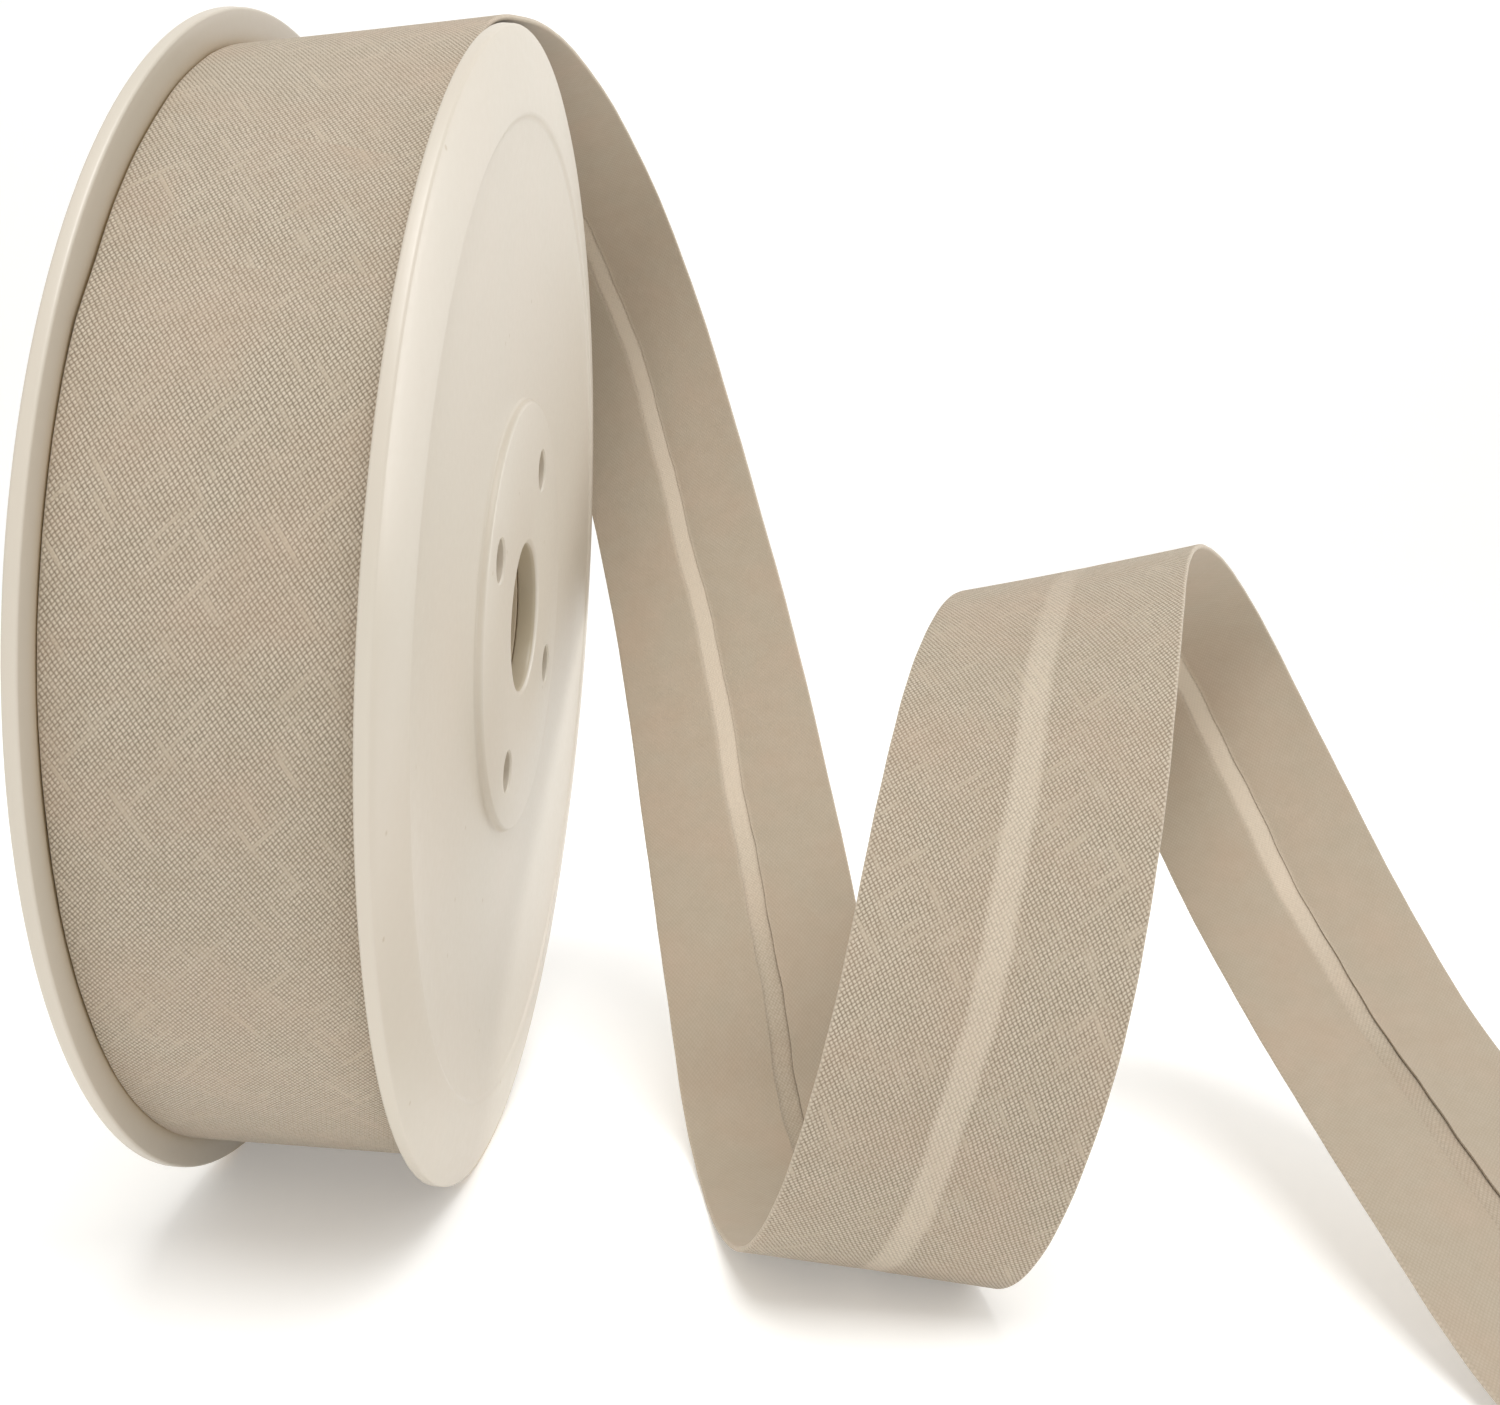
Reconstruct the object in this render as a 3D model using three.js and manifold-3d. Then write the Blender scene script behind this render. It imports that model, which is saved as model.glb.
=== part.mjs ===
// Roll of single-fold bias tape on a plastic spool, with its loose end curling to the surface.
// Millimetres, +Z up. X runs along the spool's axis, and +Y points to the back of the roll.
// The origin is the middle of the flat spot under the near flange, on the surface it stands on.

import * as THREE from 'three';
import { mergeVertices } from 'three/addons/utils/BufferGeometryUtils.js';
import Module from 'manifold-3d';

const wasm = await Module();
wasm.setup();

// Spool
const FLANGE_RADIUS = 62;
const RIM_THICKNESS = 1.3;
const RIM_ROUND = 0.35;
const FLAT_SPOT_DEPTH = 0.3;
const AXLE_HEIGHT = FLANGE_RADIUS - FLAT_SPOT_DEPTH;
const FLANGE_GAP = 25.6;
const DISH_RADIUS = 53.3;
const DISH_HEIGHT = 1.2;
const DISH_STEP = 0.3;
const HUB_RADIUS = 24;
const HUB_HEIGHT = 1.1;
const WEB_HEIGHT = 0.3;
const BORE_RADIUS = 8.3;
const BORE_LIP = 0.4;

// Four small holes through each hub
const HUB_HOLES = 4;
const HUB_HOLE_RADIUS = 2.3;
const HUB_HOLE_PITCH_RADIUS = 18;
const HUB_HOLE_START = -22;

// Barrel between the flanges
const CLEARANCE = 0.3;
const BARREL_RADIUS = HUB_RADIUS;

// Tape
const TAPE_WIDTH = 25;
const WOUND_WIDTH = FLANGE_GAP - 2 * CLEARANCE;
const WOUND_RADIUS = 57.6;
const WOUND_ROUND = 0.5;
const SHEET_THICKNESS = 1;

// Steps round the lathe turnings and along the loose end
const ROUND_STEPS = 96;
const HOLE_STEPS = 20;
const STEPS_PER_SECTION = 6;

// Side of the block that is taken off below the surface
const UNDERLAY = 400;

// The loose end, section by section: its middle in mm, then how far its width is swung
// about the vertical and tipped up from level, in degrees.
const LOOSE_END = [
  { name: 'lift_off', x: -13.5, y: -37, z: 107.6, swing: 0, tip: 0.5 },
  { name: 'edge_lifts', x: -13.5, y: -22, z: 117.6, swing: -0.5, tip: 7.5 },
  { name: 'over_the_top', x: -13.3, y: -2, z: 123.3, swing: -4, tip: 11.5 },
  { name: 'clear_of_the_rim', x: -11, y: 27, z: 125.6, swing: -6, tip: 19.5 },
  { name: 'behind_the_roll', x: -2, y: 64, z: 112.5, swing: -4.5, tip: 25 },
  { name: 'fall_past_flange', x: 14.5, y: 60, z: 71, swing: -7, tip: 20.5 },
  { name: 'fall', x: 29.5, y: 18, z: 27, swing: 7, tip: 9.5 },
  { name: 'fall_low', x: 35, y: 5, z: 7.5, swing: 11.5, tip: 10 },
  { name: 'bend_back', x: 39, y: -10, z: 1.2, swing: 10, tip: 3.5 },
  { name: 'bend_front', x: 42.5, y: -28.5, z: 2.2, swing: 10, tip: -6.5 },
  { name: 'rise_low', x: 46, y: -40.5, z: 10.5, swing: 7, tip: -10.5 },
  { name: 'rise', x: 50, y: -45.5, z: 29.5, swing: 2.5, tip: -9.5 },
  { name: 'rise_high', x: 53.5, y: -37.5, z: 51, swing: -9.5, tip: -4 },
  { name: 'crest_front', x: 57.5, y: -21.5, z: 65.5, swing: -17.5, tip: 6.5 },
  { name: 'crest', x: 64, y: 0.5, z: 71, swing: -20.5, tip: 16 },
  { name: 'crest_back', x: 75.5, y: 24.5, z: 66, swing: -19, tip: 27 },
  { name: 'second_fall', x: 85.5, y: 34.5, z: 55, swing: -11, tip: 29.5 },
  { name: 'second_fall_mid', x: 94.5, y: 23.5, z: 37, swing: 0.5, tip: 22 },
  { name: 'second_fall_low', x: 101.5, y: 1, z: 20.5, swing: 8.5, tip: 11 },
  { name: 'tail_slope', x: 105.5, y: -22.5, z: 12, swing: 8.5, tip: 9.5 },
  { name: 'touch_down', x: 110, y: -42.5, z: 3.3, swing: 9, tip: 3.5 },
  { name: 'lying', x: 113.5, y: -59.5, z: 0.5, swing: 10.5, tip: 0 },
  { name: 'cut_end', x: 116.5, y: -76, z: 0.5, swing: 10.5, tip: 0 },
];

const ivory = () => new THREE.MeshStandardMaterial({ color: 0xe4dcc8, roughness: 0.42, metalness: 0 });
const cloth = () => new THREE.MeshStandardMaterial({ color: 0xbba98f, roughness: 0.9, metalness: 0 });

// Solid from a closed geometry, and geometry from a solid
function toSolid(geometry) {
  const bare = geometry.index ? geometry.clone() : geometry;
  bare.deleteAttribute('normal');
  bare.deleteAttribute('uv');
  const merged = mergeVertices(bare, 1e-4);
  const mesh = new wasm.Mesh({
    numProp: 3,
    vertProperties: new Float32Array(merged.attributes.position.array),
    triVerts: new Uint32Array(merged.index.array),
  });
  return new wasm.Manifold(mesh);
}

function toGeometry(solid) {
  const mesh = solid.getMesh();
  const geometry = new THREE.BufferGeometry();
  geometry.setAttribute('position', new THREE.BufferAttribute(mesh.vertProperties, 3));
  geometry.setIndex(new THREE.BufferAttribute(mesh.triVerts, 1));
  return geometry;
}

// A ring turned about the X axis from a closed outline of [radius, x] corners
function turnedRing(outline) {
  const corners = outline.map(([radius, x]) => new THREE.Vector2(radius, x));
  corners.push(corners[0].clone());
  return new THREE.LatheGeometry(corners, ROUND_STEPS).rotateZ(-Math.PI / 2);
}

// The four hub holes, as one cutter that runs from x = low to x = high
function hubHoleCutter(low, high) {
  let cutter = null;
  for (let i = 0; i < HUB_HOLES; i++) {
    const angle = THREE.MathUtils.degToRad(HUB_HOLE_START + (i * 360) / HUB_HOLES);
    const pin = new THREE.CylinderGeometry(HUB_HOLE_RADIUS, HUB_HOLE_RADIUS, high - low, HOLE_STEPS);
    pin.rotateZ(Math.PI / 2);
    pin.translate(
      (low + high) / 2,
      -HUB_HOLE_PITCH_RADIUS * Math.sin(angle),
      HUB_HOLE_PITCH_RADIUS * Math.cos(angle),
    );
    cutter = cutter ? cutter.add(toSolid(pin)) : toSolid(pin);
  }
  return cutter;
}

// One flange with its outer face towards +X and its rim centred on x = 0
function flangeGeometry() {
  const inner = -RIM_THICKNESS / 2;
  const outer = RIM_THICKNESS / 2;
  const outline = [
    [BORE_RADIUS, inner],
    [FLANGE_RADIUS - RIM_ROUND, inner],
    [FLANGE_RADIUS, inner + RIM_ROUND],
    [FLANGE_RADIUS, outer - RIM_ROUND],
    [FLANGE_RADIUS - RIM_ROUND, outer],
    [(FLANGE_RADIUS + DISH_RADIUS) / 2, outer + DISH_HEIGHT * 0.65],
    [DISH_RADIUS, outer + DISH_HEIGHT],
    [DISH_RADIUS - 1, outer + DISH_HEIGHT - DISH_STEP],
    [HUB_RADIUS + 0.3, outer + WEB_HEIGHT],
    [HUB_RADIUS, outer + HUB_HEIGHT - BORE_LIP],
    [HUB_RADIUS - BORE_LIP, outer + HUB_HEIGHT],
    [BORE_RADIUS + BORE_LIP, outer + HUB_HEIGHT],
    [BORE_RADIUS, outer + HUB_HEIGHT - BORE_LIP],
  ];
  const disc = toSolid(turnedRing(outline));
  const reach = RIM_THICKNESS + DISH_HEIGHT + HUB_HEIGHT;
  return toGeometry(disc.subtract(hubHoleCutter(-reach, reach)));
}

// What stands or lies on the surface, at height floor in its own frame, is flat there
function restingOn(floor, geometry) {
  const below = new THREE.BoxGeometry(UNDERLAY, UNDERLAY, UNDERLAY);
  below.translate(0, 0, floor - UNDERLAY / 2);
  return toGeometry(toSolid(geometry).subtract(toSolid(below)));
}

// The barrel that carries the tape, with the spindle bore through it
function coreGeometry() {
  const half = FLANGE_GAP / 2 - CLEARANCE;
  return turnedRing([
    [BORE_RADIUS, -half],
    [BARREL_RADIUS, -half],
    [BARREL_RADIUS, half],
    [BORE_RADIUS, half],
  ]);
}

// The wound tape: a ring as wide as the tape, its folded edges a little rounded
function woundGeometry() {
  const half = WOUND_WIDTH / 2;
  const inner = BARREL_RADIUS + CLEARANCE;
  return turnedRing([
    [inner, -half],
    [WOUND_RADIUS - WOUND_ROUND, -half],
    [WOUND_RADIUS, -half + WOUND_ROUND],
    [WOUND_RADIUS, half - WOUND_ROUND],
    [WOUND_RADIUS - WOUND_ROUND, half],
    [inner, half],
  ]);
}

// Second derivatives of a natural cubic spline through values one step apart
function splineBends(values) {
  const last = values.length - 1;
  const factor = [0];
  const right = [0];
  for (let i = 1; i < last; i++) {
    const pivot = 4 - factor[i - 1];
    factor.push(1 / pivot);
    right.push((6 * (values[i + 1] - 2 * values[i] + values[i - 1]) - right[i - 1]) / pivot);
  }
  const bends = new Array(last + 1).fill(0);
  for (let i = last - 1; i > 0; i--) bends[i] = right[i] - factor[i] * bends[i + 1];
  return bends;
}

function splineCurve(values) {
  const bends = splineBends(values);
  return (at) => {
    const i = Math.min(Math.floor(at), values.length - 2);
    const b = at - i;
    const a = 1 - b;
    const bow = (a ** 3 - a) * bends[i] + (b ** 3 - b) * bends[i + 1];
    return a * values[i] + b * values[i + 1] + bow / 6;
  };
}

// Middle, width direction and face direction of the loose end at every step
function looseEndFrames() {
  const curves = {};
  for (const key of ['x', 'y', 'z', 'swing', 'tip']) {
    curves[key] = splineCurve(LOOSE_END.map((row) => row[key]));
  }
  const last = LOOSE_END.length - 1;
  const middle = (at) => new THREE.Vector3(curves.x(at), curves.y(at), curves.z(at));
  const frames = [];
  for (let i = 0; i <= last * STEPS_PER_SECTION; i++) {
    const at = i / STEPS_PER_SECTION;
    const before = middle(Math.max(at - 0.01, 0));
    const along = middle(Math.min(at + 0.01, last)).sub(before).normalize();
    const swing = THREE.MathUtils.degToRad(curves.swing(at));
    const tip = THREE.MathUtils.degToRad(curves.tip(at));
    const width = new THREE.Vector3(
      Math.cos(swing) * Math.cos(tip),
      Math.sin(swing) * Math.cos(tip),
      Math.sin(tip),
    );
    width.addScaledVector(along, -width.dot(along)).normalize();
    frames.push({ middle: middle(at), width, face: width.clone().cross(along) });
  }
  return frames;
}

// The sheet: four corners at every step, skinned along the length and capped at both ends
function looseEndGeometry() {
  const frames = looseEndFrames();
  const corners = [[-1, -1], [1, -1], [1, 1], [-1, 1]];
  const positions = [];
  for (const { middle, width, face } of frames) {
    for (const [side, layer] of corners) {
      const corner = middle.clone();
      corner.addScaledVector(width, (side * TAPE_WIDTH) / 2);
      corner.addScaledVector(face, (layer * SHEET_THICKNESS) / 2);
      positions.push(corner.x, corner.y, corner.z);
    }
  }
  const count = corners.length;
  const index = [0, 1, 2, 0, 2, 3];
  for (let i = 0; i < frames.length - 1; i++) {
    for (let j = 0; j < count; j++) {
      const a = i * count + j;
      const b = i * count + ((j + 1) % count);
      index.push(a, a + count, b, b, a + count, b + count);
    }
  }
  const end = (frames.length - 1) * count;
  index.push(end, end + 2, end + 1, end, end + 3, end + 2);
  const geometry = new THREE.BufferGeometry();
  geometry.setAttribute('position', new THREE.Float32BufferAttribute(positions, 3));
  geometry.setIndex(index);
  return geometry;
}

function named(name, geometry, material) {
  const mesh = new THREE.Mesh(geometry, material);
  mesh.name = name;
  return mesh;
}

const flangeSpacing = FLANGE_GAP + RIM_THICKNESS;
const roll = new THREE.Group();
roll.position.z = AXLE_HEIGHT;

const flange = restingOn(-AXLE_HEIGHT, flangeGeometry());
roll.add(named('near_flange', flange, ivory()));

const farFlange = named('far_flange', flange.clone(), ivory());
farFlange.rotation.z = Math.PI;
farFlange.position.x = -flangeSpacing;
roll.add(farFlange);

const core = named('core', coreGeometry(), ivory());
core.position.x = -flangeSpacing / 2;
roll.add(core);

const wound = named('wound_tape', woundGeometry(), cloth());
wound.position.x = -flangeSpacing / 2;
roll.add(wound);

const part = new THREE.Group();
part.add(roll, named('loose_end', restingOn(0, looseEndGeometry()), cloth()));

export default part;
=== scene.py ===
"""Roll of single-fold bias tape on a moulded spool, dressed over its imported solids."""

import math
import random

import bmesh
import bpy
from mathutils import Matrix, Vector


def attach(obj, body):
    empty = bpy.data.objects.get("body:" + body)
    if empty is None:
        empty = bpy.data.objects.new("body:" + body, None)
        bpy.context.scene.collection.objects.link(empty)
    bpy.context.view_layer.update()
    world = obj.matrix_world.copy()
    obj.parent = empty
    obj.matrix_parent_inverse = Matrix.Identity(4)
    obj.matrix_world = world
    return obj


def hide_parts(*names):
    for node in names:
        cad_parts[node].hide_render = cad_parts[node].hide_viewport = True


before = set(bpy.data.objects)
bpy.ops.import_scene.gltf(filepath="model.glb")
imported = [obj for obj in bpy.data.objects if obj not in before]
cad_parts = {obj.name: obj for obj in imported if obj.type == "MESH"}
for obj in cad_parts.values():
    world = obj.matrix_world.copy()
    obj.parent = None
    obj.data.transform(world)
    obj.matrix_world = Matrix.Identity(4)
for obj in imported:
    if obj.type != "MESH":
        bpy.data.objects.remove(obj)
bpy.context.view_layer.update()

bl_info = {
    "name": "Roll of bias tape",
    "version": (1, 0, 0),
    "blender": (4, 5, 0),
    "location": "View3D > Sidebar > Bias Tape",
    "description": "Builds a spool of folded cotton tape with its loose end, piece by piece",
    "category": "Object",
}

MM = 0.001

# A Mix node's sockets share their names, so they go by number: its share, its two
# numbers, its two colours, and the colour that it gives
SHARE = 0
LOW, HIGH = 2, 3
FIRST, SECOND = 6, 7
COLOUR = 2

# How finely round forms and the tape are divided
FLANGE_SIDES = 192
BARREL_SIDES = 128
HOLE_SIDES = 40
SPIN_STEPS = 112
WRAP_STEPS = 160
STEPS_PER_SECTION = 20

# How far the hub's face stands out from the rim's
HUB_HEIGHT = 1.1 * MM

# How far the strip goes round the roll: its last turn, and 24 degrees more under it
WRAP = math.radians(384)

# The loose end, section by section: its middle in mm, then how far its width is swung
# about the vertical and tipped up from level, in degrees. The solids use the same table.
LOOSE_END = [
    {"name": "lift_off", "x": -13.5, "y": -37, "z": 107.6, "swing": 0, "tip": 0.5},
    {"name": "edge_lifts", "x": -13.5, "y": -22, "z": 117.6, "swing": -0.5, "tip": 7.5},
    {"name": "over_the_top", "x": -13.3, "y": -2, "z": 123.3, "swing": -4, "tip": 11.5},
    {"name": "clear_of_the_rim", "x": -11, "y": 27, "z": 125.6, "swing": -6, "tip": 19.5},
    {"name": "behind_the_roll", "x": -2, "y": 64, "z": 112.5, "swing": -4.5, "tip": 25},
    {"name": "fall_past_flange", "x": 14.5, "y": 60, "z": 71, "swing": -7, "tip": 20.5},
    {"name": "fall", "x": 29.5, "y": 18, "z": 27, "swing": 7, "tip": 9.5},
    {"name": "fall_low", "x": 35, "y": 5, "z": 7.5, "swing": 11.5, "tip": 10},
    {"name": "bend_back", "x": 39, "y": -10, "z": 1.2, "swing": 10, "tip": 3.5},
    {"name": "bend_front", "x": 42.5, "y": -28.5, "z": 2.2, "swing": 10, "tip": -6.5},
    {"name": "rise_low", "x": 46, "y": -40.5, "z": 10.5, "swing": 7, "tip": -10.5},
    {"name": "rise", "x": 50, "y": -45.5, "z": 29.5, "swing": 2.5, "tip": -9.5},
    {"name": "rise_high", "x": 53.5, "y": -37.5, "z": 51, "swing": -9.5, "tip": -4},
    {"name": "crest_front", "x": 57.5, "y": -21.5, "z": 65.5, "swing": -17.5, "tip": 6.5},
    {"name": "crest", "x": 64, "y": 0.5, "z": 71, "swing": -20.5, "tip": 16},
    {"name": "crest_back", "x": 75.5, "y": 24.5, "z": 66, "swing": -19, "tip": 27},
    {"name": "second_fall", "x": 85.5, "y": 34.5, "z": 55, "swing": -11, "tip": 29.5},
    {"name": "second_fall_mid", "x": 94.5, "y": 23.5, "z": 37, "swing": 0.5, "tip": 22},
    {"name": "second_fall_low", "x": 101.5, "y": 1, "z": 20.5, "swing": 8.5, "tip": 11},
    {"name": "tail_slope", "x": 105.5, "y": -22.5, "z": 12, "swing": 8.5, "tip": 9.5},
    {"name": "touch_down", "x": 110, "y": -42.5, "z": 3.3, "swing": 9, "tip": 3.5},
    {"name": "lying", "x": 113.5, "y": -59.5, "z": 0.5, "swing": 10.5, "tip": 0},
    {"name": "cut_end", "x": 116.5, "y": -76, "z": 0.5, "swing": 10.5, "tip": 0},
]

# How the folded edges lie along the tape, by section: how far the middle gap has wandered
# to the right in mm, how much light it lets through, and how far the raw edges lift in mm
FOLD_LAY = [
    {"at": -9, "gap_shift": 0, "light": 0, "lift": 0},
    {"at": 0, "gap_shift": 0, "light": 0, "lift": 0},
    {"at": 3.5, "gap_shift": 0.2, "light": 0.4, "lift": 0},
    {"at": 4.4, "gap_shift": 0.5, "light": 1, "lift": 0},
    {"at": 5.6, "gap_shift": 0.2, "light": 1, "lift": 0},
    {"at": 6.2, "gap_shift": 0, "light": 0.3, "lift": 0.1},
    {"at": 7.5, "gap_shift": 0, "light": 0.1, "lift": 0.14},
    {"at": 9.2, "gap_shift": 0, "light": 0.8, "lift": 0.04},
    {"at": 10.5, "gap_shift": 0, "light": 1, "lift": 0},
    {"at": 12.5, "gap_shift": 0, "light": 0.9, "lift": 0},
    {"at": 13.8, "gap_shift": 0, "light": 0.3, "lift": 0},
    {"at": 15, "gap_shift": 0, "light": 1, "lift": 0},
    {"at": 17.2, "gap_shift": 0, "light": 0.9, "lift": 0},
    {"at": 18.2, "gap_shift": 0, "light": 0.1, "lift": 0.14},
    {"at": 22, "gap_shift": 0, "light": 0.1, "lift": 0.12},
]

# The flange's outer face, worked inwards from its rim: how far each ring is set in, and
# how far it stands out from the one before, in mm
FACE_RINGS = [
    {"name": "rim_round", "inset": 1.2, "rise": 0.36},
    {"name": "rim_slope", "inset": 3.2, "rise": 0.45},
    {"name": "crown", "inset": 2.6, "rise": 0.27},
    {"name": "crown_top", "inset": 1.4, "rise": 0.1},
    {"name": "step", "inset": 0.45, "rise": -0.36},
    {"name": "dish_outer", "inset": 6, "rise": -0.32},
    {"name": "dish", "inset": 10, "rise": -0.2},
    {"name": "dish_floor", "inset": 12.05, "rise": -0.02},
    {"name": "hub_foot", "inset": 0.8, "rise": 0},
    {"name": "hub_wall", "inset": 0.25, "rise": 0.82},
    {"name": "hub_face", "inset": 15.35, "rise": 0},
    {"name": "bore_lip", "inset": 0.4, "rise": -0.4},
]

# A folded edge in the wound roll, seen end on: how far up its turn, and how much of the
# fold's roundness it is drawn in there
EDGE_PROFILE = [
    {"up": 0.0, "drawn_in": 1.0},
    {"up": 0.2, "drawn_in": 0.25},
    {"up": 0.5, "drawn_in": 0.0},
    {"up": 0.8, "drawn_in": 0.25},
]

# Places across the tape in mm where its face has a point, and shares of a folded-in flap
# from its raw edge to its fold
FACE_MARKS = (-12, -10, -7.5, -5, -2.6, -1.7, -1.25, -0.8, 0, 0.8, 1.25, 1.7, 2.6, 5, 7.5, 10, 12)
FLAP_SHARES = (0, 0.05, 0.2, 0.4, 0.6, 0.8, 0.96)

# How the tape wanders from a true line: slow to quick waves, in mm
WANDER = [
    {"length": 61, "size": 0.09},
    {"length": 23, "size": 0.05},
    {"length": 9, "size": 0.025},
]

# The lamps: place, aim and side in metres, and their share of the key light's power
LAMPS = [
    {"name": "key", "place": (0.1, -0.35, 0.95), "aim": (0, 0, 0.06), "side": 0.6, "share": 1},
    {"name": "side", "place": (0.65, 0.5, 0.25), "aim": (0, 0.03, 0.06), "side": 0.4, "share": 0.24},
]

# The camera, fitted to the outlines of both flanges: its place in mm, and the directions
# to its right and ahead
CAMERA_PLACE = (31.95, -181.44, 74.39)
CAMERA_RIGHT = (0.9974, 0.0305, 0.0653)
CAMERA_AHEAD = (-0.023, 0.9933, -0.1129)


class SpoolSizes(bpy.types.PropertyGroup):
    """Sizes and colour of the moulded spool"""

    radius: bpy.props.FloatProperty(
        name="Flange radius",
        description="From the axis to the rim",
        default=62 * MM,
        min=0.02,
        unit="LENGTH",
    )
    rim: bpy.props.FloatProperty(
        name="Rim thickness",
        description="Thickness of each flange at its rim",
        default=1.3 * MM,
        min=0.0005,
        unit="LENGTH",
    )
    gap: bpy.props.FloatProperty(
        name="Flange gap",
        description="Clear width between the flanges",
        default=25.6 * MM,
        min=0.005,
        unit="LENGTH",
    )
    flat_spot: bpy.props.FloatProperty(
        name="Flat spot",
        description="Depth of the small flat that each rim stands on",
        default=0.3 * MM,
        min=0.0,
        unit="LENGTH",
    )
    barrel: bpy.props.FloatProperty(
        name="Barrel radius",
        description="Radius of the core that the tape is wound on",
        default=24 * MM,
        min=0.01,
        unit="LENGTH",
    )
    bore: bpy.props.FloatProperty(
        name="Bore radius",
        description="Radius of the hole for the spindle",
        default=8.3 * MM,
        min=0.001,
        unit="LENGTH",
    )
    hole: bpy.props.FloatProperty(
        name="Small hole radius",
        description="Radius of the four holes in each hub",
        default=2.3 * MM,
        min=0.0005,
        unit="LENGTH",
    )
    hole_ring: bpy.props.FloatProperty(
        name="Hole ring radius",
        description="From the axis to the middle of each small hole",
        default=18 * MM,
        min=0.002,
        unit="LENGTH",
    )
    first_hole: bpy.props.FloatProperty(
        name="First hole",
        description="How far the first small hole is turned from the top, towards the camera",
        default=math.radians(-22),
        subtype="ANGLE",
    )
    plastic: bpy.props.StringProperty(
        name="Plastic colour",
        description="Colour of the moulded plastic, as a hex value",
        default="#C6C0B2",
    )


class TapeSizes(bpy.types.PropertyGroup):
    """Sizes and colours of the folded tape"""

    width: bpy.props.FloatProperty(
        name="Tape width",
        description="Width of the tape with both edges folded in",
        default=25 * MM,
        min=0.005,
        unit="LENGTH",
    )
    cut_width: bpy.props.FloatProperty(
        name="Cut width",
        description="Width that the strip was cut to before it was folded",
        default=47.5 * MM,
        min=0.008,
        unit="LENGTH",
    )
    cloth: bpy.props.FloatProperty(
        name="Cloth thickness",
        description="Thickness of one layer",
        default=0.24 * MM,
        min=0.0001,
        unit="LENGTH",
    )
    layer_gap: bpy.props.FloatProperty(
        name="Layer spacing",
        description="Between the middles of the two folded layers",
        default=0.32 * MM,
        min=0.0001,
        unit="LENGTH",
    )
    turn: bpy.props.FloatProperty(
        name="Turn height",
        description="How much each turn adds to the roll's radius",
        default=0.6 * MM,
        min=0.0002,
        unit="LENGTH",
    )
    wound_radius: bpy.props.FloatProperty(
        name="Wound radius",
        description="Radius of the roll under its last turn",
        default=57.75 * MM,
        min=0.01,
        unit="LENGTH",
    )
    warp_pitch: bpy.props.FloatProperty(
        name="Warp spacing",
        description="From one warp thread to the next",
        default=0.39 * MM,
        min=0.0001,
        unit="LENGTH",
    )
    weft_pitch: bpy.props.FloatProperty(
        name="Weft spacing",
        description="From one weft thread to the next",
        default=0.316 * MM,
        min=0.0001,
        unit="LENGTH",
    )
    warp_lean: bpy.props.FloatProperty(
        name="Warp lean",
        description="Angle across the warp threads, from the tape's width",
        default=math.radians(34),
        subtype="ANGLE",
    )
    weft_lean: bpy.props.FloatProperty(
        name="Weft lean",
        description="Angle across the weft threads, from the tape's width",
        default=math.radians(-43.5),
        subtype="ANGLE",
    )
    thread: bpy.props.StringProperty(
        name="Thread colour",
        description="Colour of the raised threads, as a hex value",
        default="#CFC3B1",
    )
    # Painted shade: the darker colour given to the hollows between the threads
    hollow_shade: bpy.props.StringProperty(
        name="Hollow colour",
        description="Colour between the threads, as a hex value",
        default="#7F725F",
    )


class StageSettings(bpy.types.PropertyGroup):
    """Floor, lights and camera"""

    floor: bpy.props.StringProperty(
        name="Floor colour",
        description="Colour of the floor and its upswept back, as a hex value",
        default="#F6F6F5",
    )
    sky: bpy.props.FloatProperty(
        name="Surround light",
        description="Strength of the even light from all round",
        default=0.66,
        min=0.0,
    )
    backlight: bpy.props.FloatProperty(
        name="Floor light",
        description="Strength of the light that the floor gives off",
        default=0.24,
        min=0.0,
    )
    key: bpy.props.FloatProperty(
        name="Key light",
        description="Power of the large soft light above, in watts",
        default=6.5,
        min=0.0,
    )
    lens: bpy.props.FloatProperty(
        name="Lens",
        description="Focal length in mm, on a sensor 36 mm wide",
        default=38.68,
        min=1.0,
    )


# Small helpers


def linear(hex_colour):
    """Linear RGBA from an sRGB hex value."""
    parts = [int(hex_colour[i : i + 2], 16) / 255 for i in (1, 3, 5)]
    return [c / 12.92 if c <= 0.04045 else ((c + 0.055) / 1.055) ** 2.4 for c in parts] + [1.0]


def add(tree, kind, inputs=(), **settings):
    """Adds a node with its settings, and fills or links its inputs."""
    node = tree.nodes.new(kind)
    for name, value in settings.items():
        setattr(node, name, value)
    for socket, value in dict(inputs).items():
        if isinstance(value, bpy.types.NodeSocket):
            tree.links.new(value, node.inputs[socket])
        else:
            node.inputs[socket].default_value = value
    return node


def new_material(name):
    """An empty material with its output node."""
    material = bpy.data.materials.new(name)
    material.use_nodes = True
    material.node_tree.nodes.clear()
    return material, material.node_tree


def deselect():
    """Leaves object mode with nothing selected."""
    if bpy.context.object and bpy.context.object.mode != "OBJECT":
        bpy.ops.object.mode_set(mode="OBJECT")
    bpy.ops.object.select_all(action="DESELECT")


def make_active(piece):
    """Selects one piece alone and makes it active."""
    deselect()
    piece.select_set(True)
    bpy.context.view_layer.objects.active = piece


def apply_modifiers(piece):
    """Applies every modifier of a piece in order."""
    make_active(piece)
    for name in [modifier.name for modifier in piece.modifiers]:
        bpy.ops.object.modifier_apply(modifier=name)


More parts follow.
